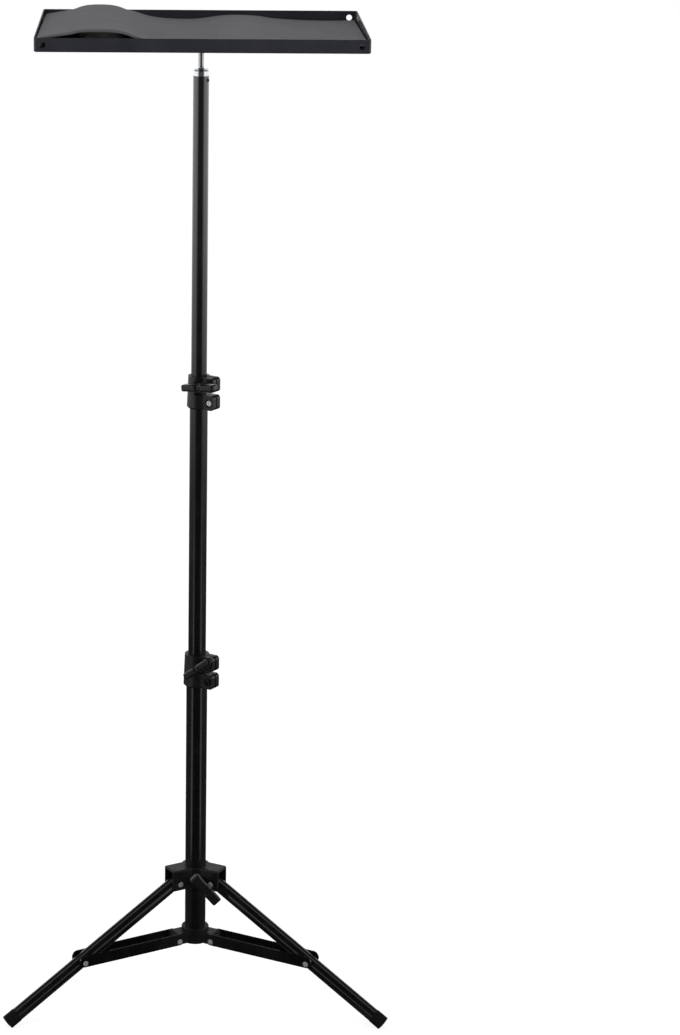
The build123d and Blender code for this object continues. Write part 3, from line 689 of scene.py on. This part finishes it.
mat_tree, size, end = size_tree("mat_wave", MAT_SIZES)
sheet = add_node(mat_tree, "GeometryNodeMeshGrid")
feed(mat_tree, sheet, Size_X=size["Length"], Size_Y=size["Width"], Vertices_X=181, Vertices_Y=49)
spot = add_node(mat_tree, "GeometryNodeInputPosition").outputs[0]
split = feed(mat_tree, add_node(mat_tree, "ShaderNodeSeparateXYZ"), Vector=spot).outputs
along = share_of(mat_tree, split["X"], size["Length"])
front, back = (curve_of(mat_tree, along, points) for points in (FRONT_WAVE, BACK_WAVE))
wave = add_node(mat_tree, "ShaderNodeMix", data_type="FLOAT")
feed(mat_tree, wave, i0=share_of(mat_tree, split["Y"], size["Width"]), i2=front, i3=back)
lift = maths(mat_tree, "MULTIPLY", wave.outputs[0], size["Wave Height"])
rise = joined(mat_tree, "ShaderNodeCombineXYZ", Z=lift)
raised = joined(mat_tree, "GeometryNodeSetPosition", Geometry=sheet.outputs["Mesh"], Offset=rise)
end_tree(mat_tree, end, raised, mat_rubber)
print("mat tree", len(mat_tree.nodes), "nodes")

# %% [markdown]
# The sheet is grown about the origin, so its mesh is lifted on to the tray's floor and the object stays
# where it is. The points of its middle row are then gathered in order along the length.

# %% Lay the mat in the tray
TRAY_SHEET = 1.2 * MM
MIDDLE_BAND = 1e-6
loose_mat = grow("loose_mat", mat_tree, MAT_SIZES)
tray_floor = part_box("tray_pan")[0][2] + TRAY_SHEET
loose_mat.data.transform(Matrix.Translation((0, 0, tray_floor)))
row = [vertex.co for vertex in loose_mat.data.vertices if abs(vertex.co.y) < MIDDLE_BAND]
row.sort(key=lambda point: point.x)

# %% [markdown]
# Foam has a thickness and a soft cut edge. Both could be built into the tree, but as Solidify and
# Bevel modifiers they stay easy to change, and the sheet below them is still one plain surface.

# %% Give the mat its thickness
MAT_THICK = 3.0 * MM
CUT_EDGE = 0.6 * MM
wall = loose_mat.modifiers.new("wall", "SOLIDIFY")
wall.thickness = MAT_THICK
wall.offset = 0.0
soft_edge = loose_mat.modifiers.new("soft_edge", "BEVEL")
soft_edge.width = CUT_EDGE
soft_edge.segments = 2
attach(loose_mat, "tray")
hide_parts("tray_mat")
print("mat modifiers", [modifier.name for modifier in loose_mat.modifiers])

# %% [markdown]
# ## Floor
# The picture is a cut-out on plain white, so the stage is one large sheet of pale paper. A real
# studio bends the paper up behind the object. Here the floor is flat and the world behind it has the
# same white, so no bend is needed.

# %% Lay the floor
FLOOR_HALF = 8.0
CORNERS = ((-1, -1), (1, -1), (1, 1), (-1, 1))
floor_mesh = bpy.data.meshes.new("floor")
floor_mesh.from_pydata([(x * FLOOR_HALF, y * FLOOR_HALF, 0) for x, y in CORNERS], [], [(0, 1, 2, 3)])
floor = add_object("floor", floor_mesh)
print("floor", 2 * FLOOR_HALF, "m square")

# %% [markdown]
# ## What the gloss reflects
# Gloss black shows almost nothing but reflections. Mirrored rays see a bright studio wall at the
# sides and back, and darkness in front of the stand, above it and on the floor close to it. That is
# what draws a dark core down every tube, with flanks that are pale near the top and fade towards the
# tripod. Real black flags and white boards could be built for this. It is lighter to sort the rays by
# their kind, with the Light Path node, and to grade the studio by its heading.

# %% Studio helpers
FRONT_EDGE = (-0.85, -0.60)
FRONT_LEVEL = 0.06
LINE_WIDTH = (0.04, 0.12)


def rays(tree):
    """One socket for camera and transmitted rays, one for mirrored rays."""
    path = add_node(tree, "ShaderNodeLightPath").outputs
    seen = maths(tree, "MAXIMUM", path["Is Camera Ray"], path["Is Transmission Ray"])
    return seen, path["Is Glossy Ray"]


def heading_y(tree, way):
    """How far a level heading points to the back: -1 in front, 1 behind."""
    level = vector_maths(tree, "NORMALIZE", vector_maths(tree, "MULTIPLY", way, (1, 1, 0)))
    return feed(tree, add_node(tree, "ShaderNodeSeparateXYZ"), Vector=level).outputs["Y"]


def away_from_front(tree, way):
    """Bright at the sides and back of the studio, dark in front of the stand."""
    return ramp(tree, heading_y(tree, way), *FRONT_EDGE, FRONT_LEVEL, 1.0)


def pale_line(tree, across, middle, level):
    """A narrow pale line at one heading."""
    gap = maths(tree, "ABSOLUTE", maths(tree, "SUBTRACT", across, middle))
    return ramp(tree, gap, *LINE_WIDTH, level, 0.0)


print("studio helpers ready")

# %% [markdown]
# ## Floor in the reflections
# To a mirrored ray the paper is dark near the stand and brightens far off, where it runs into the
# wall. A pale line at each side, from half a metre to about two metres out, gives the lower tube its
# thin lines. Lamps could draw them too, but they would also light the white floor.

# %% Mirrored floor
WALL_LEVEL, DARK_LEVEL, LINE_LEVEL = 1.7, 0.05, 0.7
WALL_RISE = (2.2, 7.0)
LINE_START, LINE_END = (0.4, 0.55), (1.4, 2.6)
LINE_HEADING = -0.64
floor_paper = bpy.data.materials.new("floor_paper")
floor_paper.use_nodes = True
floor_mesh.materials.append(floor_paper)
tree = floor_paper.node_tree
tree.nodes.remove(tree.nodes["Principled BSDF"])
place = add_node(tree, "ShaderNodeTexCoord").outputs["Object"]
far = vector_maths(tree, "LENGTH", place)
distant = ramp(tree, far, *WALL_RISE, DARK_LEVEL, WALL_LEVEL)
wall_shine = maths(tree, "MULTIPLY", distant, away_from_front(tree, place))
stretch = maths(tree, "MULTIPLY", ramp(tree, far, *LINE_START), ramp(tree, far, *LINE_END, 1.0, 0.0))
side_line = pale_line(tree, heading_y(tree, place), LINE_HEADING, LINE_LEVEL)
floor_shine = maths(tree, "ADD", wall_shine, maths(tree, "MULTIPLY", stretch, side_line))
print("mirrored floor", len(tree.nodes), "nodes so far")

# %% [markdown]
# ## Floor in the picture
# Lighting the paper until it clips would also bleach the object. So the paper is nearly white to the
# camera by itself, with room left for a faint shadow, and a plain pale grey to the light that it
# passes on. Mix Shader nodes pick one of the three looks by the kind of ray.

# %% Paper on the floor
WHITE = (1, 1, 1, 1)
PAPER = (0.75, 0.75, 0.75, 1)
SHADOWED_PAPER = (0.30, 0.30, 0.30, 1)
PAPER_GLOW = 0.85
seen, mirrored = rays(tree)
plain = joined(tree, "ShaderNodeBsdfDiffuse", Color=PAPER)
shadowed = joined(tree, "ShaderNodeBsdfDiffuse", Color=SHADOWED_PAPER)
glow = joined(tree, "ShaderNodeEmission", Color=WHITE, Strength=PAPER_GLOW)
mirror = joined(tree, "ShaderNodeEmission", Color=WHITE, Strength=floor_shine)
lit = joined(tree, "ShaderNodeAddShader", i0=shadowed, i1=glow)
shown = joined(tree, "ShaderNodeMixShader", i0=seen, i1=plain, i2=lit)
whole = joined(tree, "ShaderNodeMixShader", i0=mirrored, i1=shown, i2=mirror)
feed(tree, tree.nodes["Material Output"], Surface=whole)
print("paper nodes", len(tree.nodes))

# %% [markdown]
# ## World
# The world does the same above the floor: white to the camera, a plain fill for the light, and for
# mirrored rays a bright wall low down at the sides and back. A pale batten overhead, a little in front
# of the stand and seen only in reflections, adds the line along the top of each leg.

# %% Studio world
FILL_LEVEL, BATTEN_LEVEL = 0.55, 0.8
WALL_TOP = (0.10, 0.40)
BATTEN_RISE = (0.2, 0.4)
BATTEN_HEADING = -0.12
world = bpy.data.worlds.new("studio")
bpy.context.scene.world = world
world.use_nodes = True
tree = world.node_tree
seen, mirrored = rays(tree)
heading = add_node(tree, "ShaderNodeTexCoord").outputs["Generated"]
split = feed(tree, add_node(tree, "ShaderNodeSeparateXYZ"), Vector=heading).outputs
low_wall = ramp(tree, split["Z"], *WALL_TOP, WALL_LEVEL, DARK_LEVEL)
wall_shine = maths(tree, "MULTIPLY", low_wall, away_from_front(tree, heading))
overhead = ramp(tree, split["Z"], *BATTEN_RISE)
batten = maths(tree, "MULTIPLY", overhead, pale_line(tree, split["Y"], BATTEN_HEADING, BATTEN_LEVEL))
fill = ramp(tree, seen, 0.0, 1.0, FILL_LEVEL, 1.0)
level = add_node(tree, "ShaderNodeMix", data_type="FLOAT")
feed(tree, level, i0=mirrored, i2=fill, i3=maths(tree, "ADD", wall_shine, batten))
feed(tree, tree.nodes["Background"], Color=WHITE, Strength=level.outputs[0])
print("world nodes", len(tree.nodes))

# %% [markdown]
# ## Lamps
# Two tall soft boxes stand at the front left and, twice as strong, at the front right. A wide one
# overhead, to the left, lights the tray. Area lamps are used because small ones would give hard
# shadows that the picture does not have. They are left out of reflections, which the studio walls
# above already draw.

# %% Lamps
LAMPS = {
    "soft_box_left": ((-2.07, -1.74, 1.05), (0.6, 1.7), 9.0),
    "soft_box_right": ((2.07, -1.74, 1.05), (0.6, 1.7), 18.0),
    "overhead": ((-1.1, -0.6, 3.1), (1.8, 1.8), 14.0),
}
AIM = Vector((0, 0, 0.75))
for name, (stand, window, watts) in LAMPS.items():
    lamp = bpy.data.lights.new(name, "AREA")
    lamp.shape = "RECTANGLE"
    lamp.size, lamp.size_y = window
    lamp.energy = watts
    lamp_object = add_object(name, lamp)
    lamp_object.location = stand
    lamp_object.visible_glossy = False
    lamp_object.rotation_euler = (AIM - Vector(stand)).to_track_quat("-Z", "Y").to_euler()
bpy.context.scene.view_settings.view_transform = "Standard"
print("lamps", len(LAMPS))
